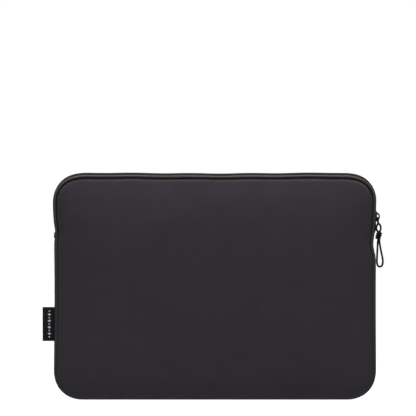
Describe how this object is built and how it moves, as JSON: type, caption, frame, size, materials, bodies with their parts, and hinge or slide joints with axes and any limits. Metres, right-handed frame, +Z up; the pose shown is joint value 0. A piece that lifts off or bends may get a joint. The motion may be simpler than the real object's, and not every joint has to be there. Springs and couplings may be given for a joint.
{
  "type": "laptop sleeve",
  "caption": "Padded laptop sleeve with soft corners, piped edges, a zip round the top with a cord pull on its slider, and a folded label at the side.",
  "frame": {"origin": "middle of the flat bottom edge that the upright sleeve rests on", "axes": "+X to the right seen from the front, along the long edge; -Y out of the front; +Z up, from the bottom edge to the zip"},
  "size_m": [0.3637, 0.026, 0.2419],
  "materials": {
    "outer_fabric": "matte",
    "foam": "matte",
    "lining": "matte",
    "piping": "satin",
    "binding": "matte",
    "zip_tape": "matte",
    "zip_coil": "satin",
    "stop_metal": "satin",
    "end_tab": "matte",
    "label": "satin",
    "slider_metal": "gloss",
    "cord": "satin"
  },
  "bodies": {
    "root": {"back_outer_panel": "outer_fabric", "front_outer_panel": "outer_fabric", "side_gusset": "outer_fabric", "back_foam_pad": "foam", "front_foam_pad": "foam", "back_lining": "lining", "front_lining": "lining", "back_piping": "piping", "front_piping": "piping", "back_seam_binding": "binding", "front_seam_binding": "binding", "back_zip_tape": "zip_tape", "front_zip_tape": "zip_tape", "back_zip_teeth": "zip_coil", "front_zip_teeth": "zip_coil", "zip_bottom_stop": "stop_metal", "back_top_stop": "stop_metal", "left_end_tab": "end_tab", "right_end_tab": "end_tab", "side_label": "label"},
    "flap": {"flap_outer_panel": "outer_fabric", "flap_foam_pad": "foam", "flap_lining": "lining", "flap_piping": "piping", "flap_seam_binding": "binding", "flap_zip_tape": "zip_tape", "flap_zip_teeth": "zip_coil", "flap_top_stop": "stop_metal"},
    "slider": {"slider_body": "slider_metal", "slider_crown": "slider_metal"},
    "pull": {"pull_eye": "cord", "pull_knot": "cord", "pull_loop": "cord"}
  },
  "joints": [
    {"name": "mouth_open", "type": "hinge", "parent": "root", "child": "flap", "pos_m": [0, -0.013, 0.19175], "axis": [0.997, 0, 0.0768], "range_deg": [0, 55], "stiffness_Nm_per_rad": 0.05},
    {"name": "slider_travel", "type": "slide", "parent": "root", "child": "slider", "axis": [0, 0, 1], "range_m": [-0.012, 0.01]},
    {"name": "pull_swing", "type": "hinge", "parent": "slider", "child": "pull", "pos_m": [0.17415, 0, 0.19425], "axis": [0, -1, 0], "range_deg": [0, 150]}
  ]
}
